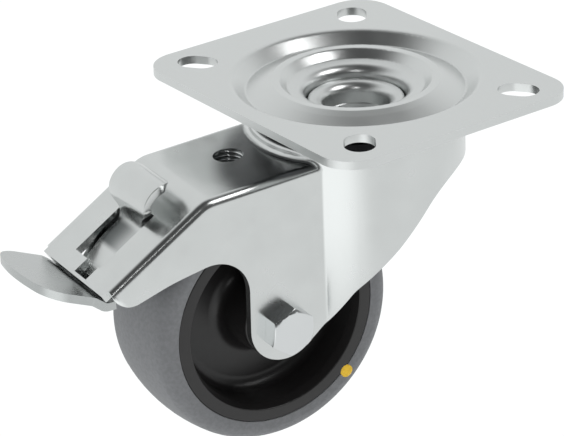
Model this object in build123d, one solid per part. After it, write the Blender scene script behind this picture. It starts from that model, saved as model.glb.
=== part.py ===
# Swivel castor with a rocker brake: 80 mm wheel, pressed steel fork and a 100 x 85 mm top plate.
# Millimetres. The origin is the centre of the top plate's upper face, +Z up.
# X runs along the plate's short side and Y along its long side.
from build123d import *
from math import asin, atan2, cos, degrees, hypot, pi, radians, sin, sqrt, tan
import os

# Top plate: pressed sheet with a ringed dish and four slots that point at its centre
plate_short = 85.0
plate_long = 100.0
plate_corner_r = 10.5
plate_sheet = 2.5
slot_pitch_short = 58.0
slot_pitch_long = 78.2
slot_length = 12.2
slot_width = 9.0
dish_r = 38.0
dish_depth = 3.6
crest_r = 23.7
crest_drop = 0.35
crest_half = 1.2
trough_r = 32.4
trough_brow = (27.2, -1.3)
dish_edge_r = 36.6
well_wall_run = 0.9
dish_bends = (0.3, 3.0, 1.2, 1.0, 1.0, 6.0, 0.8, 3.0)
inner_ring_r = 20.1
inner_ring_drop = 2.8
well_r = 15.4
well_depth = 8.7

# Swivel head: hollow king pin, two full rings of balls and the lower race
pin_bore_r = 9.7
pin_lower_bore_r = 9.2
pin_ledge_z = -12.7
pin_shank_r = 12.2
pin_spacer_r = 13.4
pin_head_r = 14.3
pin_head_rise = 2.3
pin_roll_r = 2.8
pin_flange_r = 16.5
pin_flange_t = 2.0
ball_r = 3.175
upper_ball_ring_r = 24.55
lower_ball_ring_r = 21.8
ball_gap = 0.04
groove_depth = 0.6
race_sheet = 2.0
race_r = 26.0
race_rim = 1.8

# Fork: one pressed sheet with a round crown, a bridge, a sloping web and two cheeks
fork_sheet = 2.5
crown_r = 32.0
crown_top_z = -9.0
crown_rim_z = -11.3
crown_step_in = 4.0
crown_step_run = 1.4
crown_edge_r = 1.5
crown_foot_r = 2.0
crown_hole_r = 18.6
bend_r = 2.5
bridge_z = -15.6
bridge_ref_x = -45.0
bridge_slope = 0.055
knee_x = -62.7
knee_r = 10.0
web_end_x = -95.9
web_end_z = -37.6
web_corner_r = 4.0
cheek_front_x = -93.9
cheek_toe_r = 6.6
cheek_toe_z = -44.35
cheek_mid = (-74.8, -38.6)
cheek_mid_r = 60.0
arch_edge_x = -49.5
arch_top_z = -34.0
arch_r = 12.0
leg_front_x = -50.2
leg_end_r = 11.5
leg_rear_slope = 0.8
leg_rear_point = (14.2, -2.8)
leg_rear_r = 8.0
skirt_waist = (-18.1, -54.6)
skirt_knee = (-5.7, -42.2)
skirt_edge_r = 14.0
skirt_corner = (11.3, -23.7)
skirt_r = 25.0
swivel_at_rest = -5.68

# Opening in the web for the release tab, and the collared hole in the bridge
web_slot_half = 7.4
web_slot_top_x = -72.6
web_slot_end_x = -90.7
notch_end_x = -95.0
notch_far_y = 0.2
notch_near_y = -6.6
bridge_hole = (-42.4, 2.5)
bridge_hole_r = 4.5
collar_wall = 1.5
collar_depth = 3.0

# Wheel and axle
wheel_r = 40.0
wheel_width = 32.0
wheel_side_gap = 1.8
axle_x = -38.67
tread_top_z = -22.36
axle_z = tread_top_z - wheel_r
crown_arc_r = 60.0
shoulder_depth = 5.4
shoulder_width = 3.6
tread_depth = 7.5
lip_width = 3.8
lip_set_in = 0.34
lip_taper = 1.1
seat_depth = 2.9
rim_flange = 2.4
disc_half = 2.6
hub_wall = 2.8
bush_wall = 2.0
bush_flange = 1.8
bush_flange_t = 1.0
bush_length = 13.7
hub_end_gap = 0.1
axle_tube_wall = 1.9
bush_running_gap = 0.04
bolt_r = 4.0
bolt_gap = 0.1
hex_flats = 13.0
bolt_head_h = 5.5
nut_h = 8.0
nut_insert_h = 2.2
nut_insert_r = 5.2
hex_turn = 6.0

# Brake: rocker of pedal and release tab on a pin under the web, and the leaf that it bends
pivot_x = -80.0
pivot_z = -36.5
brake_pin_r = 2.0
brake_pin_gap = 0.05
ear_r = 4.5
ear_front_x = -90.5
ear_shoulder_x = -84.3
pedal_sheet = 2.5
pedal_half = 16.5
pedal_tip_x = -113.3
pedal_crease = (-97.0, -38.15)
pedal_slope = 0.43
pedal_dip = (-93.6, -40.9)
pedal_crease_r = 4.0
pedal_dip_r = 2.0
pedal_straight_x = -90.8
pedal_corner_r = 8.0
pedal_front_rise = 1.6
pedal_front_r = 40.0
rocker_ear_in = 8.6
rocker_ear_sheet = 2.2
tab_sheet = 2.5
tab_lap_x = -91.6
tab_heel_x = -88.9
tab_belly = (-81.6, -30.7)
tab_root = (-76.3, -27.6)
tab_brow = (-78.4, -20.4)
tab_crest = (-73.85, -11.84)
tab_end = (-66.8, -13.6)
tab_strip_half = 6.6
tab_half = 10.4
tab_taper = (-24.3, -20.3)
tab_corner_r = 5.0
lug_gap = 0.5
lug_sheet = 2.0
lug_side_gap = 0.5
lug_span = (-87.5, -73.0)
pin_head_t = 1.0
leaf_sheet = 1.2
leaf_half = 8.0
leaf_gap = 1.7
leaf_root_x = -70.4
leaf_root_length = 5.2
leaf_length = 22.0
nose_gap = 0.3


def line_z(x, point, slope):
    """Height at x of the line with this slope through point."""
    return point[1] + slope * (x - point[0])


knee_z = line_z(knee_x, (bridge_ref_x, bridge_z), bridge_slope)
web_slope = (knee_z - web_end_z) / (knee_x - web_end_x)
web_angle = atan2(web_slope, 1.0)
web_drop = fork_sheet / cos(web_angle)


def web_z(x):
    return line_z(x, (web_end_x, web_end_z), web_slope)


def web_under_z(x):
    return web_z(x) - web_drop


crown_step_r = crown_r - crown_step_in
cheek_half = wheel_width / 2 + wheel_side_gap + fork_sheet
lug_half_out = cheek_half - fork_sheet - lug_side_gap
rim_r = wheel_r - tread_depth
rim_seat_r = rim_r - seat_depth
lip_inner_r = rim_r - lip_width
rim_well_r = lip_inner_r - lip_taper
axle_tube_r = bolt_r + bolt_gap + axle_tube_wall
bush_r = axle_tube_r + bush_wall
hub_r = bush_r + hub_wall
hub_half = cheek_half - fork_sheet - bush_flange_t - hub_end_gap
leaf_r = wheel_r + leaf_gap + leaf_sheet
leaf_bend = (leaf_root_x, web_under_z(leaf_root_x))
leaf_aim = atan2(axle_z - leaf_bend[1], axle_x - leaf_bend[0]) - asin(
    leaf_r / hypot(axle_x - leaf_bend[0], axle_z - leaf_bend[1]))


def leaf_point(along, out=0.0):
    """A place on the leaf's outer face, at a distance from its bend and out from the face."""
    return (leaf_bend[0] + along * cos(leaf_aim) + out * sin(leaf_aim),
            leaf_bend[1] + along * sin(leaf_aim) - out * cos(leaf_aim))


nose_z = pedal_dip[1] - pedal_sheet / 2
nose_out = pedal_sheet / 2 + nose_gap
nose_along = (nose_z - leaf_point(0, nose_out)[1]) / sin(leaf_aim)
nose_x = leaf_point(nose_along, nose_out)[0]


def beside(points, distance):
    """The corners of a line that runs at this distance to the right of the one through points."""
    shifted = []
    for index, point in enumerate(points):
        before = points[max(index - 1, 0)]
        after = points[min(index + 1, len(points) - 1)]
        turns = [(point[0] - before[0], point[1] - before[1]), (after[0] - point[0], after[1] - point[1])]
        normals = [(b / hypot(a, b), -a / hypot(a, b)) for a, b in turns if hypot(a, b) > 0]
        nx = sum(n[0] for n in normals)
        ny = sum(n[1] for n in normals)
        reach = len(normals) * distance / (nx * nx + ny * ny)
        shifted.append((point[0] + nx * reach, point[1] + ny * reach))
    return shifted


def turns_left(a, b, c):
    return (b[0] - a[0]) * (c[1] - b[1]) - (b[1] - a[1]) * (c[0] - b[0]) > 0


def sheet_face(points, radii, thickness):
    """Section of a bent sheet: one face follows points, the other lies to the right of them."""
    corners = [points[i:i + 3] for i in range(len(points) - 2)]
    grown = [r + (thickness if turns_left(*c) else -thickness) for r, c in zip(radii, corners)]
    grown = [max(r, 0.2) for r in grown]
    near = FilletPolyline(*points, radius=radii)
    other = beside(points, thickness)
    far = FilletPolyline(*other, radius=grown)
    return make_face([near, far, Line(points[0], other[0]), Line(points[-1], other[-1])])


def side_solid(face, y_from, y_to):
    """A section drawn in X and Z, made solid from y_from to y_to."""
    upright = Plane.XZ * face
    return Pos(0, y_to, 0) * extrude(upright, y_to - y_from)


def both_sides(face, y_in, y_out):
    return side_solid(face, y_in, y_out) + side_solid(face, -y_out, -y_in)


def disc(x, z, r):
    return Pos(x, z) * Circle(r)


def turned(face):
    """A section drawn with radius along X and height along Z, revolved about the swivel axis."""
    return revolve(Plane.XZ * face, Axis.Z)


def on_axle(face):
    """A section drawn with radius along X and place along Y, revolved about the axle."""
    return Pos(axle_x, 0, axle_z) * revolve(face, Axis.Y)


def make_top_plate():
    """Flat rim with its slots, and the dish inside it revolved from one bent section."""
    flat = extrude(RectangleRounded(plate_short, plate_long, plate_corner_r), -plate_sheet)
    flat -= Cylinder(dish_r, 3 * plate_sheet)
    slot_aim = degrees(atan2(slot_pitch_long, slot_pitch_short))
    for across in (-1, 1):
        for along in (-1, 1):
            place = Pos(across * slot_pitch_short / 2, along * slot_pitch_long / 2)
            slot = place * Rot(0, 0, across * along * slot_aim) * SlotOverall(slot_length, slot_width)
            flat -= extrude(slot, -plate_sheet)
    well_floor = -well_depth
    points = [
        (pin_shank_r, well_floor),
        (well_r - well_wall_run, well_floor),
        (well_r, -dish_depth),
        (inner_ring_r, -inner_ring_drop),
        (crest_r - crest_half, -crest_drop),
        (crest_r + crest_half, -crest_drop),
        trough_brow,
        (trough_r, -dish_depth),
        (dish_edge_r, 0),
        (dish_r, 0),
    ]
    dish = turned(sheet_face(points, dish_bends, plate_sheet))
    return flat + dish


deck_under_z = crown_top_z - fork_sheet
spacer_top_z = -well_depth - plate_sheet
race_top_z = deck_under_z - 2 * ball_r - 2 * ball_gap + groove_depth
race_under_z = race_top_z - race_sheet


def make_king_pin():
    """Hollow rivet: the head closes on the plate's well and the flange on the lower race."""
    head_z = -well_depth
    flange_z = race_under_z - pin_flange_t
    rolled = FilletPolyline(
        (pin_bore_r, pin_ledge_z),
        (pin_bore_r, head_z + pin_head_rise - 0.4),
        (pin_head_r, head_z + pin_head_rise),
        (pin_head_r, head_z),
        radius=[pin_roll_r, 0.9],
    )
    section = Polyline(
        (pin_head_r, head_z),
        (pin_shank_r, head_z),
        (pin_shank_r, spacer_top_z),
        (pin_spacer_r, spacer_top_z),
        (pin_spacer_r, race_top_z),
        (pin_shank_r, race_top_z),
        (pin_shank_r, race_under_z),
        (pin_flange_r, race_under_z),
        (pin_flange_r, flange_z + 0.8),
        (pin_flange_r - 0.8, flange_z),
        (pin_lower_bore_r, flange_z),
        (pin_lower_bore_r, pin_ledge_z),
        (pin_bore_r, pin_ledge_z),
    )
    return turned(make_face([rolled, section]))


upper_ball_z = crown_top_z - groove_depth + ball_r + ball_gap
lower_ball_z = deck_under_z + groove_depth - ball_r - ball_gap


def ball_groove(ring_r, z):
    """The ring that a groove for the balls takes out of a flat race."""
    return turned(disc(ring_r, z, ball_r + ball_gap))


def ball_ring(ring_r, z):
    """A full ring of balls, as many as fit side by side."""
    count = int(2 * pi * ring_r / (2 * ball_r + ball_gap))
    balls = [Rot(0, 0, 360 * i / count) * Pos(ring_r, 0, z) * Sphere(ball_r) for i in range(count)]
    return Compound(children=balls)


def make_lower_race():
    """Pressed cup under the lower balls, with an upturned rim."""
    points = [(race_r, race_top_z + race_rim), (race_r, race_under_z), (pin_shank_r, race_under_z)]
    cup = turned(sheet_face(points, [3.0], race_sheet))
    return cup - ball_groove(lower_ball_ring_r, lower_ball_z)


def cheek_cutter():
    """Everything below the free edge of the cheeks and of the skirt, drawn from the side."""
    leg_rear = (axle_x + leg_rear_point[0], axle_z + leg_rear_point[1])
    leg_foot_z = line_z(leg_front_x, leg_rear, leg_rear_slope)
    high_z = web_end_z + 3 * fork_sheet
    low_z = axle_z - 2 * wheel_r
    edge = FilletPolyline(
        (cheek_front_x, high_z),
        (cheek_front_x, cheek_toe_z),
        cheek_mid,
        (arch_edge_x, arch_top_z),
        (leg_front_x, leg_foot_z),
        leg_rear,
        skirt_waist,
        skirt_knee,
        skirt_corner,
        (2 * crown_r, skirt_corner[1]),
        radius=[cheek_toe_r, cheek_mid_r, arch_r, leg_end_r, leg_rear_r, skirt_edge_r, skirt_edge_r, skirt_r],
    )
    rear_x = cheek_front_x - wheel_r
    below = Polyline((2 * crown_r, skirt_corner[1]), (2 * crown_r, low_z), (rear_x, low_z), (rear_x, high_z),
                     (cheek_front_x, high_z))
    return side_solid(make_face([edge, below]), -2 * cheek_half, 2 * cheek_half)


def across_web(x_from, x_to, y_from, y_to):
    """A block through the web, square to it, between two places on its outer face."""
    length = (x_to - x_from) / cos(web_angle)
    centre = Plane(((x_from + x_to) / 2, (y_from + y_to) / 2, web_z((x_from + x_to) / 2)),
                   x_dir=(cos(web_angle), 0, sin(web_angle)), z_dir=(-sin(web_angle), 0, cos(web_angle)))
    return centre * Box(length, y_to - y_from, 4 * fork_sheet)


def under_curve(points, radii):
    """Half section below a bent line that starts on the swivel axis."""
    line = FilletPolyline(*points, radius=radii)
    return make_face([line, Polyline(points[-1], (0, points[-1][1]), points[0])])


def meets_crown(point):
    """True where the rear half of the crown's wall meets the bridge and the cheeks."""
    on_wall = abs(hypot(point.X, point.Y) - crown_r) < 0.3
    return on_wall and point.X < -crown_r / 2 and point.Z < crown_rim_z - crown_edge_r - 0.5


def make_fork():
    """Crown, bridge, web and cheeks as one sheet: outer form less inner form, then trimmed."""
    start_x = -15.0
    top_line = [(start_x, line_z(start_x, (bridge_ref_x, bridge_z), bridge_slope)), (knee_x, knee_z),
                (web_end_x, web_end_z)]
    foot_z = -2 * wheel_r
    end_run = (web_end_z - foot_z) * tan(web_angle)
    outline = FilletPolyline(*top_line, radius=knee_r)
    closing = Polyline(top_line[-1], (web_end_x + end_run, foot_z), (start_x, foot_z), top_line[0])
    outer = side_solid(make_face([outline, closing]), -cheek_half, cheek_half)
    top_edges = outer.edges().filter_by(lambda e: abs(e.center().Y) > cheek_half - 0.1 and e.center().Z > -30)
    outer = fillet(top_edges, bend_r)
    plan = Plane((web_end_x, 0, web_end_z), x_dir=(cos(web_angle), 0, sin(web_angle)),
                 z_dir=(-sin(web_angle), 0, cos(web_angle)))
    rounded = plan * (Pos(plate_long, 0) * RectangleRounded(2 * plate_long, 2 * cheek_half, web_corner_r))
    outer &= extrude(rounded, plate_long, both=True)

    crown_line = [(0, crown_top_z), (crown_step_r, crown_top_z), (crown_step_r + crown_step_run, crown_rim_z),
                  (crown_r, crown_rim_z), (crown_r, foot_z - 9)]
    crown_bends = [1.4, 0.8, crown_edge_r]
    crown = turned(under_curve(crown_line, crown_bends))
    crown_inside = turned(under_curve(beside(crown_line, fork_sheet), [0.4, 1.0, 0.5]))

    under_line = beside([(p[0], p[1]) for p in top_line[::-1]], fork_sheet)[::-1]
    inner_line = FilletPolyline(*under_line, radius=knee_r - fork_sheet)
    end_x, end_z = under_line[-1]
    below_z = foot_z - wheel_r
    inner_close = Polyline((end_x, end_z), (end_x - wheel_r, end_z - wheel_r * web_slope),
                           (cheek_front_x - wheel_r, below_z), (start_x, below_z), under_line[0])
    cheek_in = cheek_half - fork_sheet
    inner = side_solid(make_face([inner_line, inner_close]), -cheek_in, cheek_in)

    shell = outer + crown
    foot = shell.edges().filter_by(lambda e: meets_crown(e @ 0.5))
    fork = fillet(foot, crown_foot_r) - crown_inside - inner - cheek_cutter()
    strip_end = (-crown_r, line_z(-crown_r, (bridge_ref_x, bridge_z), bridge_slope))
    strip_face = sheet_face([top_line[2], (knee_x, knee_z), strip_end], [knee_r], fork_sheet)
    fork += side_solid(strip_face, -cheek_in, cheek_in)

    collar_face = disc(bridge_hole[0], bridge_hole[1], bridge_hole_r + collar_wall)
    collar_top = line_z(bridge_hole[0], (bridge_ref_x, bridge_z), bridge_slope)
    fork += Pos(0, 0, collar_top - 1.0) * extrude(collar_face, -(fork_sheet + collar_depth - 1.0))
    hole = Pos(0, 0, collar_top + 5) * extrude(disc(bridge_hole[0], bridge_hole[1], bridge_hole_r), -20)
    fork -= hole

    fork -= Pos(0, 0, deck_under_z) * Cylinder(crown_hole_r, 20)
    fork -= ball_groove(upper_ball_ring_r, upper_ball_z)
    fork -= ball_groove(lower_ball_ring_r, lower_ball_z)
    fork -= across_web(web_slot_end_x, web_slot_top_x, -web_slot_half, web_slot_half)
    fork -= across_web(notch_end_x, web_slot_end_x, notch_near_y, notch_far_y)
    fork -= Pos(axle_x, 0, axle_z) * Rot(90, 0, 0) * Cylinder(bolt_r + bolt_gap, 3 * cheek_half)
    return fork


def rim_seat(half):
    """Outer line of the rim where the tyre is moulded on, from one side to the other."""
    side = half - lip_set_in
    upper = [(rim_r, side), (rim_r, half - rim_flange), (rim_seat_r, half - rim_flange - 1)]
    return upper + [(r, -y) for r, y in upper[::-1]]


def make_tread():
    """Rubber tyre moulded round the rim: a crowned tread with round shoulders."""
    half = wheel_width / 2
    flat_half = half - shoulder_width
    drop = crown_arc_r - sqrt(crown_arc_r ** 2 - flat_half ** 2)
    shoulder = (wheel_r - drop, flat_half)
    shoulder_end_r = wheel_r - shoulder_depth
    lean = flat_half / (crown_arc_r - drop)
    tyre = make_face([
        ThreePointArc((shoulder[0], -shoulder[1]), (wheel_r, 0), shoulder),
        TangentArc(shoulder, (shoulder_end_r, half), tangent=(-lean, 1)),
        Polyline((shoulder_end_r, half), *rim_seat(half), (shoulder_end_r, -half)),
        TangentArc((shoulder[0], -shoulder[1]), (shoulder_end_r, -half), tangent=(-lean, -1)),
    ])
    return on_axle(tyre)


def make_wheel_rim():
    """Moulded rim: flanged barrel, a dished disc and a long hub."""
    half = wheel_width / 2
    side = half - lip_set_in
    face = FilletPolyline(
        (bush_r, hub_half),
        (hub_r, hub_half),
        (hub_r + 1.2, disc_half),
        (rim_well_r - 0.8, disc_half),
        (rim_well_r, side - 3.0),
        (lip_inner_r, side),
        (rim_r, side),
        radius=[1.0, 4.0, 4.0, 2.0, 0.4],
    )
    bore = Line((bush_r, hub_half), (bush_r, -hub_half))
    return on_axle(make_face([face, Polyline(*rim_seat(half)), mirror(face, Plane.XZ), bore]))


def make_hub_bush(side):
    """Flanged plain bush, pressed into one end of the hub."""
    face_y = hub_half + bush_flange_t
    body_end = face_y - bush_length
    inner_r = axle_tube_r + bush_running_gap
    flange_r = bush_r + bush_flange
    section = Polyline((inner_r, body_end), (bush_r, body_end), (bush_r, hub_half), (flange_r, hub_half),
                       (flange_r, face_y), (inner_r, face_y), close=True)
    bush = on_axle(make_face(section))
    return bush if side > 0 else mirror(bush, Plane.XZ)


def axle_ring(outer_r, inner_r, y_from, y_to):
    """A tube or ring on the axle; inner_r of zero leaves it solid."""
    ring = Circle(outer_r) - Circle(inner_r) if inner_r else Circle(outer_r)
    return Pos(axle_x, y_to, axle_z) * Rot(90, 0, 0) * extrude(ring, y_to - y_from)


def hex_prism(y_from, y_to, chamfer_from, chamfer_to):
    """Hexagon on the axle with its corners turned off at the chosen ends."""
    height = y_to - y_from
    turn = Rot(0, 0, 90 - hex_turn)
    block = extrude(turn * RegularPolygon(hex_flats / 2, 6, major_radius=False), height)
    corner_r = hex_flats / 2 / cos(pi / 6)
    bevel = (corner_r - hex_flats / 2 * 0.95) * tan(radians(30))
    barrel = Cylinder(corner_r, height, align=(Align.CENTER, Align.CENTER, Align.MIN))
    ends = []
    if chamfer_to:
        ends += barrel.edges().group_by(Axis.Z)[0]
    if chamfer_from:
        ends += barrel.edges().group_by(Axis.Z)[-1]
    barrel = chamfer(ends, bevel, corner_r - hex_flats / 2 * 0.95)
    return Pos(axle_x, y_to, axle_z) * Rot(90, 0, 0) * (block & barrel)


def make_axle_bolt():
    head = hex_prism(-cheek_half - bolt_head_h, -cheek_half, True, False)
    tip_y = cheek_half + nut_h + 1.0
    return head + axle_ring(bolt_r, 0, -cheek_half - 1, tip_y)


def make_axle_nut():
    """Lock nut with a round collar that holds its plastic insert."""
    hex_h = nut_h - nut_insert_h
    nut = hex_prism(cheek_half, cheek_half + hex_h, True, True)
    nut += axle_ring(nut_insert_r + 0.9, 0, cheek_half + hex_h - 0.5, cheek_half + nut_h)
    nut -= axle_ring(nut_insert_r, 0, cheek_half + hex_h, cheek_half + nut_h + 1)
    return nut - axle_ring(bolt_r, 0, cheek_half - 1, cheek_half + nut_h + 1)


def make_nut_insert():
    return axle_ring(nut_insert_r, bolt_r, cheek_half + nut_h - nut_insert_h, cheek_half + nut_h - 0.2)


def make_brake_pedal():
    """Bent sheet: the foot plate, a seat for the tab under the web, the round nose and two ears."""
    tip_x = pedal_tip_x - pedal_front_rise
    tip = (tip_x, line_z(tip_x, pedal_crease, -pedal_slope))
    bends = [pedal_crease_r, pedal_dip_r]
    section = sheet_face([tip, pedal_crease, pedal_dip, (nose_x, pedal_dip[1])], bends, pedal_sheet)
    section += disc(nose_x, nose_z, pedal_sheet / 2)
    ear_out = rocker_ear_in + rocker_ear_sheet
    front_x = pedal_tip_x + pedal_front_rise
    foot = FilletPolyline(
        (pedal_straight_x, pedal_half),
        (front_x, pedal_half),
        (tip_x, 0),
        (front_x, -pedal_half),
        (pedal_straight_x, -pedal_half),
        radius=[pedal_corner_r, pedal_front_r, pedal_corner_r],
    )
    foot_plan = make_face([foot, Line((pedal_straight_x, -pedal_half), (pedal_straight_x, pedal_half))])
    inner_length = nose_x - pedal_straight_x + 5
    plan = foot_plan + Pos(pedal_straight_x - 1, 0) * Rectangle(
        inner_length, 2 * ear_out, align=(Align.MIN, Align.CENTER))
    pedal = side_solid(section, -pedal_half, pedal_half) & extrude(plan, 80, both=True)
    foot_z = pedal_dip[1] - pedal_sheet
    cheek = make_face(Polyline(
        (ear_front_x, foot_z + 0.4), (ear_shoulder_x, pivot_z + 1.0), (pivot_x + ear_r, pivot_z),
        (nose_x + 0.8, foot_z + 0.4), close=True))
    ears = both_sides(cheek + disc(pivot_x, pivot_z, ear_r), rocker_ear_in, ear_out)
    hole = side_solid(disc(pivot_x, pivot_z, brake_pin_r + brake_pin_gap), -30, 30)
    return pedal + ears - hole


def make_release_tab():
    """Strip that laps the pedal, rises through the web's opening and curls over as a thumb tab."""
    lap_z = pedal_dip[1] + tab_sheet
    points = [(tab_lap_x, lap_z), (tab_heel_x, lap_z), tab_belly, tab_root, tab_brow, tab_crest, tab_end]
    section = sheet_face(points, [2.0, 8.0, 2.5, 5.0, 8.6], tab_sheet)
    strip = side_solid(section, -tab_half, tab_half)
    low, high = tab_taper
    front = make_face(Polyline((-tab_strip_half, -60), (tab_strip_half, -60), (tab_strip_half, low),
                               (tab_half, high), (tab_half, 0), (-tab_half, 0), (-tab_half, high),
                               (-tab_strip_half, low), close=True))
    strip &= Pos(-120, 0, 0) * extrude(Plane.YZ * front, 100)
    end_form = RectangleRounded(wheel_r, 2 * tab_half, tab_corner_r, align=(Align.MAX, Align.CENTER))
    end_plan = Pos(tab_end[0], 0) * end_form
    return strip & extrude(end_plan, 80, both=True)


def make_pivot_lug(side):
    """Angle piece under the web: its flange is welded to the web and its ear holds the pin."""
    ear_in = rocker_ear_in + rocker_ear_sheet + lug_gap
    back_x, front_x = lug_span
    flange = make_face(Polyline(
        (back_x, web_under_z(back_x)), (front_x, web_under_z(front_x)),
        (front_x, web_under_z(front_x) - lug_sheet), (back_x, web_under_z(back_x) - lug_sheet), close=True))
    ear = make_face(Polyline(
        (back_x, web_under_z(back_x)), (front_x, web_under_z(front_x)), (pivot_x + ear_r, pivot_z),
        (pivot_x - ear_r, pivot_z), close=True)) + disc(pivot_x, pivot_z, ear_r)
    lug = side_solid(flange, ear_in, lug_half_out) + side_solid(ear, ear_in, ear_in + lug_sheet)
    lug -= side_solid(disc(pivot_x, pivot_z, brake_pin_r), 0, 30)
    return lug if side > 0 else mirror(lug, Plane.XZ)


def make_pivot_pin():
    """Rivet pin through both lugs and both ears of the rocker."""
    half = rocker_ear_in + rocker_ear_sheet + lug_gap + lug_sheet
    pin = side_solid(disc(pivot_x, pivot_z, brake_pin_r), -half - pin_head_t, half + pin_head_t)
    heads = both_sides(disc(pivot_x, pivot_z, brake_pin_r + 1.2), half, half + pin_head_t)
    return pin + heads


def make_brake_leaf():
    """Spring leaf: its root lies flat under the web, then it runs down in line with the tread."""
    rear_x = leaf_root_x + leaf_root_length * cos(web_angle)
    root = (rear_x, web_under_z(rear_x))
    section = sheet_face([leaf_point(leaf_length), leaf_point(0), root], [1.0], leaf_sheet)
    return side_solid(section, -leaf_half, leaf_half)


fixed_pieces = {
    "top_plate": make_top_plate(),
    "king_pin": make_king_pin(),
    "upper_balls": ball_ring(upper_ball_ring_r, upper_ball_z),
    "lower_balls": ball_ring(lower_ball_ring_r, lower_ball_z),
    "lower_race": make_lower_race(),
}
swivel_pieces = {
    "fork": make_fork(),
    "tread": make_tread(),
    "wheel_rim": make_wheel_rim(),
    "hub_bush_near": make_hub_bush(-1),
    "hub_bush_far": make_hub_bush(1),
    "axle_tube": axle_ring(axle_tube_r, bolt_r + bolt_gap, -cheek_half + fork_sheet, cheek_half - fork_sheet),
    "axle_bolt": make_axle_bolt(),
    "axle_nut": make_axle_nut(),
    "nut_insert": make_nut_insert(),
    "brake_pedal": make_brake_pedal(),
    "release_tab": make_release_tab(),
    "pivot_lug_near": make_pivot_lug(-1),
    "pivot_lug_far": make_pivot_lug(1),
    "pivot_pin": make_pivot_pin(),
    "brake_leaf": make_brake_leaf(),
}

os.makedirs("parts", exist_ok=True)
for name, solid in fixed_pieces.items():
    export_step(solid, f"parts/{name}.step")
for name, solid in swivel_pieces.items():
    export_step(Rot(0, 0, swivel_at_rest) * solid, f"parts/{name}.step")
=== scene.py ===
import math
import bmesh
import bpy
from mathutils import Matrix, Vector
from mathutils.bvhtree import BVHTree


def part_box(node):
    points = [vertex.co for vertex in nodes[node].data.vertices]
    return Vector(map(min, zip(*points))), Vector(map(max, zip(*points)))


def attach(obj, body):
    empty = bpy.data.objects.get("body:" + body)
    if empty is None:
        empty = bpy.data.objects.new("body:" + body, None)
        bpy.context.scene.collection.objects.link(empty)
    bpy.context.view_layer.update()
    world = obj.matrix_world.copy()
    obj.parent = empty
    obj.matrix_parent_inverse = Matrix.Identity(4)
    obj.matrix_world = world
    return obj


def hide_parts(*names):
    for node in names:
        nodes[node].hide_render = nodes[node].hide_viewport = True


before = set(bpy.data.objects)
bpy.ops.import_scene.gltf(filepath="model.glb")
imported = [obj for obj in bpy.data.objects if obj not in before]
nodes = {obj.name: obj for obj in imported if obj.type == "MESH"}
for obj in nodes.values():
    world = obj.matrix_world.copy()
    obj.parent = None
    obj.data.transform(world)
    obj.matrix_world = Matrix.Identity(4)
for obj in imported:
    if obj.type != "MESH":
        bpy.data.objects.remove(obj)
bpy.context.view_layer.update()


# Camera: a long lens a little above the plate, where the photograph was taken from. Its place is
# given by the turn round the castor, the height over it and how far the castor sits off its middle.
mm = 0.001
view_azimuth = math.radians(-35.77)
view_elevation = math.radians(25.28)
view_roll = math.radians(-2.01)
view_distance = 880.1 * mm
view_aside = -21.53 * mm
view_below = -41.63 * mm
lens_mm = 192.04
sensor_mm = 36


def direction(azimuth, elevation):
    """The unit vector towards a place round the castor: azimuth 0 is the near long side."""
    level = math.cos(elevation)
    return Vector((math.sin(azimuth) * level, -math.cos(azimuth) * level, math.sin(elevation)))


def photo_camera():
    back = direction(view_azimuth, view_elevation)
    level = Vector((math.cos(view_azimuth), math.sin(view_azimuth), 0))
    tall = back.cross(level)
    right = level * math.cos(view_roll) + tall * math.sin(view_roll)
    up = tall * math.cos(view_roll) - level * math.sin(view_roll)
    lens = bpy.data.cameras.new("photo_camera")
    lens.lens = lens_mm
    lens.sensor_width = sensor_mm
    camera = bpy.data.objects.new("photo_camera", lens)
    place = Matrix((right, up, back)).transposed().to_4x4()
    place.translation = right * view_aside + up * view_below + back * view_distance
    camera.matrix_world = place
    bpy.context.scene.collection.objects.link(camera)
    bpy.context.scene.camera = camera


photo_camera()


# Studio floor: white paper that the wheel stands on. It glows, so that it looks plain white and
# casts light up into the steel, with more light from a patch at the front left of the castor.
floor_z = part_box("tread")[0].z
floor_half_size = 6.0
paper_tint = (0.985, 1.0, 1.0, 1)
paper_seen = 1.05
paper_light = 0.94
patch_light = 1.5
patch_middle = (-0.20, -0.11, floor_z)
patch_inner_r = 0.05
patch_outer_r = 0.15


def feed(tree, value, socket):
    """Gives a node's socket a number, a vector or a colour, or links it to another socket."""
    if isinstance(value, bpy.types.NodeSocket):
        tree.links.new(value, socket)
    else:
        socket.default_value = value


def vector_step(tree, kind, vector, second, socket=1):
    """The outputs of a vector node of that kind, whose second input is given."""
    step = tree.nodes.new("ShaderNodeVectorMath")
    step.operation = kind
    feed(tree, vector, step.inputs[0])
    feed(tree, second, step.inputs[socket])
    return step.outputs


def fade(tree, value, start, end, low=0.0, high=1.0, curve="SMOOTHSTEP"):
    """Runs from low, where the value is start, to high, where it is end, and is level beyond."""
    slope = tree.nodes.new("ShaderNodeMapRange")
    slope.interpolation_type = curve
    feed(tree, value, slope.inputs["Value"])
    feed(tree, start, slope.inputs["From Min"])
    feed(tree, end, slope.inputs["From Max"])
    feed(tree, low, slope.inputs["To Min"])
    feed(tree, high, slope.inputs["To Max"])
    return slope.outputs["Result"]


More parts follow.
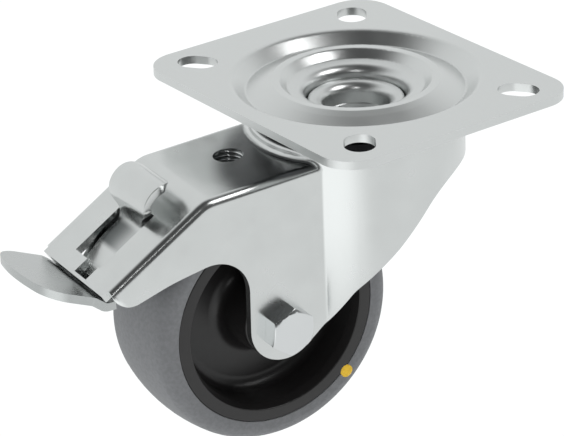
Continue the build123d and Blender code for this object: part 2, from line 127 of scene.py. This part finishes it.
def floor_paper():
    """Plain white to the camera, and to all else a lamp with a brighter patch."""
    paper = bpy.data.materials.new("floor_paper")
    paper.use_nodes = True
    tree = paper.node_tree
    tree.nodes.remove(tree.nodes["Principled BSDF"])
    place = tree.nodes.new("ShaderNodeTexCoord")
    from_patch = vector_step(tree, "DISTANCE", place.outputs["Object"], patch_middle)["Value"]
    light = fade(tree, from_patch, patch_inner_r, patch_outer_r, patch_light, paper_light)
    rays = tree.nodes.new("ShaderNodeLightPath")
    choose = tree.nodes.new("ShaderNodeMix")
    feed(tree, rays.outputs["Is Camera Ray"], choose.inputs["Factor"])
    feed(tree, light, choose.inputs["A"])
    feed(tree, paper_seen, choose.inputs["B"])
    glow = tree.nodes.new("ShaderNodeEmission")
    feed(tree, paper_tint, glow.inputs["Color"])
    feed(tree, choose.outputs["Result"], glow.inputs["Strength"])
    feed(tree, glow.outputs["Emission"], tree.nodes["Material Output"].inputs["Surface"])
    return paper


def studio_floor():
    ground = bmesh.new()
    bmesh.ops.create_grid(ground, x_segments=1, y_segments=1, size=floor_half_size)
    bmesh.ops.translate(ground, verts=ground.verts, vec=(0, 0, floor_z))
    mesh = bpy.data.meshes.new("studio_floor")
    ground.to_mesh(mesh)
    ground.free()
    mesh.materials.append(floor_paper())
    floor = bpy.data.objects.new("studio_floor", mesh)
    bpy.context.scene.collection.objects.link(floor)


studio_floor()


# Studio room: a bright backdrop all round, under a dark ceiling that hangs on the near side. The
# ceiling gives the bent edges and the pressed rings of the bright steel their dark lines.
backdrop_light = 0.92
ceiling_light = 0.07
ceiling_centre = Vector((-0.15, -0.62, 0.77)).normalized()
ceiling_starts = 0.12
ceiling_full = 0.72


def studio_room():
    world = bpy.data.worlds.new("studio_room")
    bpy.context.scene.world = world
    world.use_nodes = True
    tree = world.node_tree
    place = tree.nodes.new("ShaderNodeTexCoord")
    facing = vector_step(tree, "DOT_PRODUCT", place.outputs["Generated"], ceiling_centre)["Value"]
    light = fade(tree, facing, ceiling_starts, ceiling_full, backdrop_light, ceiling_light)
    walls = tree.nodes["Background"]
    feed(tree, paper_tint, walls.inputs["Color"])
    feed(tree, light, walls.inputs["Strength"])
    bpy.context.scene.view_settings.view_transform = "Standard"


studio_room()


# Softboxes: a square lamp high on the right draws the light line along the bend between the bridge
# and the near cheek, and a small one by the camera picks out the rolled and moulded edges.
def softbox(name, azimuth, elevation, distance, size, power):
    side = direction(math.radians(azimuth), math.radians(elevation))
    lamp = bpy.data.lights.new(name, "AREA")
    lamp.shape = "SQUARE"
    lamp.size = size
    lamp.energy = power
    holder = bpy.data.objects.new(name, lamp)
    holder.location = side * distance
    holder.rotation_mode = "QUATERNION"
    holder.rotation_quaternion = side.to_track_quat("Z", "Y")
    bpy.context.scene.collection.objects.link(holder)


softbox("right_softbox", azimuth=40, elevation=50, distance=1.6, size=0.8, power=8)
softbox("front_softbox", azimuth=-38, elevation=34, distance=1.6, size=0.22, power=1.2)


# Top plate: 2.5 mm steel sheet, pressed to a ringed dish with four slots, and bright zinc plated.
# The coat is slightly clouded over a fine matt grain, and painted shade darkens the faces that look
# down near the swivel, under the dish.
plate_tone = (0.645, 0.66, 0.655)
cloud_scale = 90
cloud_detail = 4
cloud_gain = 4
cloud_roughness = 0.2
grain_scale = 2600
grain_detail = 3
grain_height = 0.02 * mm
sheet_edge_round = 0.25 * mm
sheet_edge_angle = math.radians(40)
weld_reach = 0.001 * mm
shade_places = ("X", "Y", "Z", "Round", "Up")
# Values that no place on the castor reaches, for painted shade that isn't limited that way
full_everywhere = (3, 2)
# Painted shade: faces that look down near the swivel are darkened to this tone
plate_painted_shade_tone = (0.075, 0.077, 0.08)
plate_painted_shade = {
    "Up": (-0.1, -0.5),
    "Round": (47 * mm, 40 * mm),
}


def new_group(name, inputs, outputs):
    """An empty shader group with its named sockets: the group, what it is given and what it gives."""
    group = bpy.data.node_groups.new(name, "ShaderNodeTree")
    for way, sockets in (("INPUT", inputs), ("OUTPUT", outputs)):
        for label, kind in sockets:
            group.interface.new_socket(label, in_out=way, socket_type="NodeSocket" + kind)
    given = group.nodes.new("NodeGroupInput").outputs
    result = group.nodes.new("NodeGroupOutput").inputs
    return group, given, result


def number_step(tree, kind, first, second):
    step = tree.nodes.new("ShaderNodeMath")
    step.operation = kind
    feed(tree, first, step.inputs[0])
    feed(tree, second, step.inputs[1])
    return step.outputs["Value"]


def swung_tone(tree, tone, swing):
    """The tone made lighter or darker by a share that swings about zero."""
    return vector_step(tree, "SCALE", tone, number_step(tree, "ADD", swing, 1), "Scale")["Vector"]


def object_noise(tree, scale, detail):
    place = tree.nodes.new("ShaderNodeTexCoord")
    noise = tree.nodes.new("ShaderNodeTexNoise")
    feed(tree, place.outputs["Object"], noise.inputs["Vector"])
    feed(tree, scale, noise.inputs["Scale"])
    feed(tree, detail, noise.inputs["Detail"])
    return noise.outputs["Fac"]


def bumps(tree, shape, strength, height):
    bump = tree.nodes.new("ShaderNodeBump")
    feed(tree, shape, bump.inputs["Height"])
    feed(tree, strength, bump.inputs["Strength"])
    feed(tree, height, bump.inputs["Distance"])
    return bump.outputs["Normal"]


def metal_group():
    """The skin of plated or bare metal: clouds of tone and roughness, and a fine grain."""
    inputs = (("Tone", "Color"), ("Roughness", "Float"), ("Cloud", "Float"), ("Grain", "Float"))
    outputs = (("Color", "Color"), ("Roughness", "Float"), ("Normal", "Vector"))
    group, given, result = new_group("metal_skin", inputs, outputs)
    clouds = number_step(group, "SUBTRACT", object_noise(group, cloud_scale, cloud_detail), 0.5)
    tone_share = number_step(group, "MULTIPLY", given["Cloud"], cloud_gain)
    swing = number_step(group, "MULTIPLY", clouds, tone_share)
    matt = number_step(group, "MULTIPLY", clouds, cloud_roughness)
    grain = object_noise(group, grain_scale, grain_detail)
    feed(group, swung_tone(group, given["Tone"], swing), result["Color"])
    feed(group, number_step(group, "ADD", given["Roughness"], matt), result["Roughness"])
    feed(group, bumps(group, grain, given["Grain"], grain_height), result["Normal"])
    return group


def painted_shade_group():
    """Painted shade over a lit tone. X, Y, Z and Round, the distance from the swivel, are a point's
    place on the piece when turned back by Turn, and Up is how far its face looks up. Each has a
    value where the piece is unshaded and one where the painted shade is full."""
    inputs = [("Clean Tone", "Color"), ("Shade Tone", "Color"), ("Turn", "Float"), ("Normal", "Vector")]
    inputs += [(f"{place} {end}", "Float") for place in shade_places for end in ("Clean", "Full")]
    group, given, result = new_group("painted_shade_layer", inputs, [("Tone", "Color")])
    place = group.nodes.new("ShaderNodeTexCoord")
    turned = group.nodes.new("ShaderNodeVectorRotate")
    turned.rotation_type = "Z_AXIS"
    feed(group, place.outputs["Object"], turned.inputs["Vector"])
    feed(group, given["Turn"], turned.inputs["Angle"])
    along = group.nodes.new("ShaderNodeSeparateXYZ")
    feed(group, turned.outputs["Vector"], along.inputs["Vector"])
    facing = group.nodes.new("ShaderNodeSeparateXYZ")
    feed(group, given["Normal"], facing.inputs["Vector"])
    level = vector_step(group, "MULTIPLY", turned.outputs["Vector"], (1, 1, 0))["Vector"]
    here = {axis: along.outputs[axis] for axis in "XYZ"}
    here["Round"] = vector_step(group, "DISTANCE", level, (0, 0, 0))["Value"]
    here["Up"] = facing.outputs["Z"]
    depth = 1.0
    for label in shade_places:
        depth = fade(group, here[label], given[f"{label} Clean"], given[f"{label} Full"], high=depth)
    shade_node = group.nodes.new("ShaderNodeMixRGB")
    feed(group, depth, shade_node.inputs["Fac"])
    feed(group, given["Clean Tone"], shade_node.inputs["Color1"])
    feed(group, given["Shade Tone"], shade_node.inputs["Color2"])
    feed(group, shade_node.outputs["Color"], result["Tone"])
    return group


def new_finish(name, group, values):
    """A material whose shader takes what changes over the surface from one group."""
    finish = bpy.data.materials.new(name)
    finish.use_nodes = True
    tree = finish.node_tree
    skin = tree.nodes.new("ShaderNodeGroup")
    skin.name = "skin"
    skin.node_tree = group
    for label, value in values.items():
        skin.inputs[label].default_value = value
    shader = tree.nodes["Principled BSDF"]
    for output in skin.outputs:
        target = "Base Color" if output.name == "Color" else output.name
        tree.links.new(output, shader.inputs[target])
    return finish, shader


metal_skin = metal_group()
# Painted shade, laid on the plate, the fork's crown and the release tab
painted_shade_layer = painted_shade_group()


def metal_finish(name, tone, roughness, cloud, grain):
    values = {"Tone": (*tone, 1), "Roughness": roughness, "Cloud": cloud, "Grain": grain}
    finish, shader = new_finish(name, metal_skin, values)
    shader.inputs["Metallic"].default_value = 1.0
    return finish


def paint_shade(finish, lit_tone, shade_tone, fades, turn=0.0):
    """Lays painted shade over a metal finish where all of the fades are full."""
    tree = finish.node_tree
    shade_node = tree.nodes.new("ShaderNodeGroup")
    shade_node.node_tree = painted_shade_layer
    shade_node.inputs["Clean Tone"].default_value = (*lit_tone, 1)
    shade_node.inputs["Shade Tone"].default_value = (*shade_tone, 1)
    shade_node.inputs["Turn"].default_value = turn
    for place in shade_places:
        unshaded_at, full = fades.get(place, full_everywhere)
        shade_node.inputs[f"{place} Clean"].default_value = unshaded_at
        shade_node.inputs[f"{place} Full"].default_value = full
    face = tree.nodes.new("ShaderNodeNewGeometry")
    tree.links.new(face.outputs["Normal"], shade_node.inputs["Normal"])
    tree.links.new(shade_node.outputs["Tone"], tree.nodes["skin"].inputs["Tone"])


def smooth(piece, finish):
    for face in piece.data.polygons:
        face.use_smooth = True
    piece.data.materials.clear()
    piece.data.materials.append(finish)


def weld(piece):
    """Joins a CAD node's loose triangles for show."""
    piece.modifiers.new("weld", "WELD").merge_threshold = weld_reach


def round_edges(piece, round_off, segments):
    edge = piece.modifiers.new("edge", "BEVEL")
    edge.limit_method = "ANGLE"
    edge.angle_limit = sheet_edge_angle
    edge.width = round_off
    edge.segments = segments
    piece.modifiers.new("flats", "WEIGHTED_NORMAL")


def dress(node_name, finish, round_off=sheet_edge_round):
    """Gives a CAD node its finish and takes the sharpness off its edges."""
    piece = nodes[node_name]
    smooth(piece, finish)
    weld(piece)
    round_edges(piece, round_off, segments=2)


plate_zinc = metal_finish("plate_zinc", plate_tone, roughness=0.32, cloud=0.03, grain=0.35)
paint_shade(plate_zinc, plate_tone, plate_painted_shade_tone, plate_painted_shade)
dress("top_plate", plate_zinc)


# King pin: hollow steel rivet on the swivel axis, its head rolled over the plate's well. The lower
# race is a pressed cup that its flange holds. Both are plated as the plate is.
# They share the plate's finish, with its painted shade on faces that look down near the swivel.
dress("king_pin", plate_zinc)
dress("lower_race", plate_zinc)


# Balls: two full rings of polished steel balls with no cage. The upper ring runs between plate and
# fork, and the lower one between fork and race.
ball_steel = metal_finish("ball_steel", (0.55, 0.56, 0.57), roughness=0.1, cloud=0.01, grain=0.0)
for name in ("upper_balls", "lower_balls"):
    smooth(nodes[name], ball_steel)
    weld(nodes[name])


# Fork: one pressed sheet with a round crown, a bridge, a sloping web and two cheeks, plated a little
# glossier than the plate. The crown's top inside its rim, under the plate, is painted dark as shade.
# Two angle pieces are welded under the web to hold the brake's pin.
swivel_at_rest = math.radians(-5.68)
fork_tone = (0.63, 0.645, 0.64)
fork_coat = {"roughness": 0.24, "cloud": 0.045, "grain": 0.3}
# Painted shade: the crown's top inside its rim, under the plate, is darkened to this tone
crown_painted_shade_tone = (0.09, 0.091, 0.095)
crown_painted_shade = {
    "Round": (30.9 * mm, 30.0 * mm),
    "Z": (-11.9 * mm, -11.4 * mm),
}
fork_zinc = metal_finish("fork_zinc", fork_tone, **fork_coat)
paint_shade(fork_zinc, fork_tone, crown_painted_shade_tone, crown_painted_shade)
for name in ("fork", "pivot_lug_near", "pivot_lug_far"):
    dress(name, fork_zinc)


# Brake pedal: bent sheet foot plate that leaves below the web, with two ears on the brake's pin. Its
# zinc is duller than the fork's.
pedal_zinc = metal_finish("pedal_zinc", (0.46, 0.475, 0.472), roughness=0.27, cloud=0.05, grain=0.35)
dress("brake_pedal", pedal_zinc)


# Release tab: a sheet strip that lies on the pedal's seat, rises through the web's opening, widens
# and curls over. Its front is one smooth bend, which runs down into the narrow strip. Inside the
# opening a part of the strip is painted dark as shade, darkest at the far side.
tab_sheet = 2.5 * mm
tab_strips = 6
tab_levels = 2
tab_edge_round = 0.3 * mm
# Lines across the strip, from the pedal's seat to the end of the curl: x, z and half the width in mm
tab_lines = (
    (-91.6, -38.4, 6.6), (-89.6, -38.3, 6.6), (-88.2, -37.4, 6.6), (-85.6, -34.6, 6.6),
    (-82.6, -31.6, 6.6), (-80.4, -30.1, 6.6), (-77.6, -28.5, 6.6), (-76.55, -27.2, 6.6),
    (-76.3, -25.4, 6.6), (-76.5, -24.0, 6.7), (-76.9, -22.8, 8.3), (-77.3, -21.4, 10.3),
    (-77.55, -19.6, 10.6), (-77.2, -17.5, 10.5), (-76.1, -15.6, 10.5), (-74.4, -14.0, 10.5),
    (-72.2, -12.95, 10.4), (-70.0, -12.75, 9.9), (-68.2, -13.25, 8.6), (-66.9, -14.2, 6.4),
)
# Painted shade: part of the strip inside the web's opening is darkened to this tone, most at the far side
tab_painted_shade_tone = (0.12, 0.13, 0.13)
tab_painted_shade = {
    "X": (-84.4 * mm, -82.8 * mm),
    "Y": (-9.0 * mm, 3.5 * mm),
    "Z": (-26.0 * mm, -28.4 * mm),
}


def new_piece(name, form, finish, body):
    """Turns a finished form to the fork's place at rest and sets it on its body."""
    bmesh.ops.transform(form, matrix=Matrix.Rotation(swivel_at_rest, 4, "Z"), verts=form.verts)
    mesh = bpy.data.meshes.new(name)
    form.to_mesh(mesh)
    form.free()
    piece = bpy.data.objects.new(name, mesh)
    bpy.context.scene.collection.objects.link(piece)
    smooth(piece, finish)
    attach(piece, body)
    return piece


def release_tab():
    form = bmesh.new()
    last = len(tab_lines) - 1
    bmesh.ops.create_grid(form, x_segments=last, y_segments=tab_strips, size=0.5)
    for vert in form.verts:
        x, z, half = tab_lines[round((vert.co.x + 0.5) * last)]
        vert.co = Vector((x, vert.co.y * 2 * half, z)) * mm
    tab_zinc = metal_finish("tab_zinc", fork_tone, **fork_coat)
    paint_shade(tab_zinc, fork_tone, tab_painted_shade_tone, tab_painted_shade, turn=-swivel_at_rest)
    tab = new_piece("release_tab_form", form, tab_zinc, "rocker")
    bends = tab.modifiers.new("bends", "SUBSURF")
    bends.levels = bends.render_levels = tab_levels
    sheet = tab.modifiers.new("sheet", "SOLIDIFY")
    sheet.thickness = tab_sheet
    sheet.offset = -1
    round_edges(tab, tab_edge_round, segments=3)
    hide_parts("release_tab")


release_tab()


# Pivot pin and brake leaf: a plain plated pin with a head, and the dark spring steel leaf that the
# rocker's nose presses onto the tyre.
small_zinc = metal_finish("small_zinc", (0.66, 0.675, 0.68), roughness=0.2, cloud=0.02, grain=0.15)
spring_steel = metal_finish("spring_steel", (0.3, 0.31, 0.32), roughness=0.35, cloud=0.04, grain=0.2)
dress("pivot_pin", small_zinc)
dress("brake_leaf", spring_steel)


# Threaded hole in the bridge: the sheet is drawn down to a collar and tapped, so that bright
# ridges show on its wall. The thread is one helical ridge with a flat crest.
hole_place = (-42.4 * mm, 2.5 * mm, 0)
hole_r = 4.5
hole_top_z = -16.2
hole_bottom_z = -20.2
thread_pitch = 1.25
thread_depth = 0.45
thread_foot_half = 0.44 * thread_pitch
thread_crest_half = 0.2 * thread_foot_half
thread_steps_round = 48


def hole_thread():
    form = bmesh.new()
    crest_r = hole_r - thread_depth
    section = ((hole_r, -thread_foot_half), (crest_r, -thread_crest_half),
               (crest_r, thread_crest_half), (hole_r, thread_foot_half))
    line = [form.verts.new((r * mm, 0, (hole_bottom_z + z) * mm)) for r, z in section]
    edges = [form.edges.new(pair) for pair in zip(line, line[1:] + line[:1])]
    turns = (hole_top_z - hole_bottom_z) / thread_pitch
    steps = round(thread_steps_round * turns)
    rise = (hole_top_z - hole_bottom_z) * mm / steps
    bmesh.ops.spin(form, geom=line + edges, cent=(0, 0, 0), axis=(0, 0, 1), dvec=(0, 0, rise),
                   angle=2 * math.pi * turns, steps=steps, use_merge=False)
    ends = [edge for edge in form.edges if edge.is_boundary]
    bmesh.ops.holes_fill(form, edges=ends, sides=len(section))
    bmesh.ops.recalc_face_normals(form, faces=form.faces)
    bmesh.ops.translate(form, verts=form.verts, vec=hole_place)
    new_piece("bridge_hole_thread", form, small_zinc, "fork")


hole_thread()


# Axle: hexagon bolt with its head on the near side, the tube that it clamps between the cheeks, and
# a lock nut on the far side with a pale nylon ring.
skin_detail = 5
skin_speckles = (0.35, 0.65)
skin_relief = 0.3


def moulded_group():
    """The skin of plastic, rubber or paint: fine speckles that swing its tone and raise it."""
    inputs = (("Tone", "Color"), ("Swing", "Float"), ("Scale", "Float"), ("Height", "Float"))
    group, given, result = new_group("moulded_skin", inputs, (("Color", "Color"), ("Normal", "Vector")))
    speckle = object_noise(group, given["Scale"], skin_detail)
    either_way = fade(group, speckle, *skin_speckles, low=-1, high=1, curve="LINEAR")
    swing = number_step(group, "MULTIPLY", either_way, given["Swing"])
    feed(group, swung_tone(group, given["Tone"], swing), result["Color"])
    feed(group, bumps(group, speckle, skin_relief, given["Height"]), result["Normal"])
    return group


moulded_skin = moulded_group()


def moulded_finish(name, tone, roughness, scale=400, height=0.01 * mm, swing=0.08):
    values = {"Tone": (*tone, 1), "Swing": swing, "Scale": scale, "Height": height}
    finish, shader = new_finish(name, moulded_skin, values)
    shader.inputs["Roughness"].default_value = roughness
    return finish


insert_nylon = moulded_finish("insert_nylon", (0.6, 0.62, 0.62), roughness=0.45)
for name in ("axle_bolt", "axle_nut", "axle_tube"):
    dress(name, small_zinc, round_off=0.3 * mm)
dress("nut_insert", insert_nylon, round_off=0.1 * mm)


# Rim and bushes: moulded in black plastic, satin, with a dished disc on a hub that runs on two
# flanged plain bushes.
rim_plastic = moulded_finish("rim_plastic", (0.016, 0.0148, 0.015), roughness=0.34)
bush_plastic = moulded_finish("bush_plastic", (0.05, 0.05, 0.055), roughness=0.4)
dress("wheel_rim", rim_plastic, round_off=0.5 * mm)
dress("hub_bush_near", bush_plastic, round_off=0.1 * mm)
dress("hub_bush_far", bush_plastic, round_off=0.1 * mm)


# Tyre: one ring of grey non-marking rubber, moulded on the rim. Its skin is fine and matt, and its
# sharp edges are taken off a little.
rubber = moulded_finish("tread_rubber", (0.212, 0.216, 0.226), roughness=0.62, scale=900, height=0.03 * mm)
dress("tread", rubber, round_off=0.2 * mm)


# Paint spot: a drop of yellow paint on the wheel's near side, across the joint of rim and tyre. It
# is a small round cap that lies on whatever surface is under it.
axle_x = -38.67
axle_z = -62.36
spot_r = 2.05
spot_from_axle = 33.4
spot_turn = math.radians(-45.6)
spot_rise = 0.18
spot_sink = 0.03
spot_flatness = 4
spot_sides = 32
spot_ring_shares = (0.1, 0.14, 0.2, 0.2, 0.2)
beside_wheel_y = -40
spot_yellow = moulded_finish("spot_paint", (1.0, 0.62, 0.02), roughness=0.3, scale=500, swing=0.12)


def wheel_side():
    """Rim and tyre as one surface to lay the drop on, in the fork's own turn."""
    turn_back = Matrix.Rotation(-swivel_at_rest, 4, "Z")
    places, faces = [], []
    for node_name in ("wheel_rim", "tread"):
        mesh = nodes[node_name].data
        first = len(places)
        places += [turn_back @ vert.co for vert in mesh.vertices]
        faces += [[first + corner for corner in face.vertices] for face in mesh.polygons]
    return BVHTree.FromPolygons(places, faces)


def paint_spot():
    drop = bmesh.new()
    bmesh.ops.create_circle(drop, cap_ends=True, segments=spot_sides, radius=spot_r)
    for share in spot_ring_shares:
        middle = max(drop.faces, key=lambda face: len(face.verts))
        bmesh.ops.inset_region(drop, faces=[middle], thickness=spot_r * share, use_boundary=True)
    side = wheel_side()
    centre_x = axle_x + spot_from_axle * math.cos(spot_turn)
    centre_z = axle_z + spot_from_axle * math.sin(spot_turn)
    for vert in drop.verts:
        out = vert.co.length / spot_r
        start = Vector((centre_x + vert.co.x, beside_wheel_y, centre_z + vert.co.y)) * mm
        hit = side.ray_cast(start, Vector((0, 1, 0)))[0]
        rise = spot_rise * (1 - out ** spot_flatness) - spot_sink
        vert.co = hit + Vector((0, -rise, 0)) * mm
    outline = [edge for edge in drop.edges if edge.is_boundary]
    bmesh.ops.holes_fill(drop, edges=outline, sides=len(outline))
    bmesh.ops.recalc_face_normals(drop, faces=drop.faces)
    new_piece("paint_spot", drop, spot_yellow, "wheel")


paint_spot()
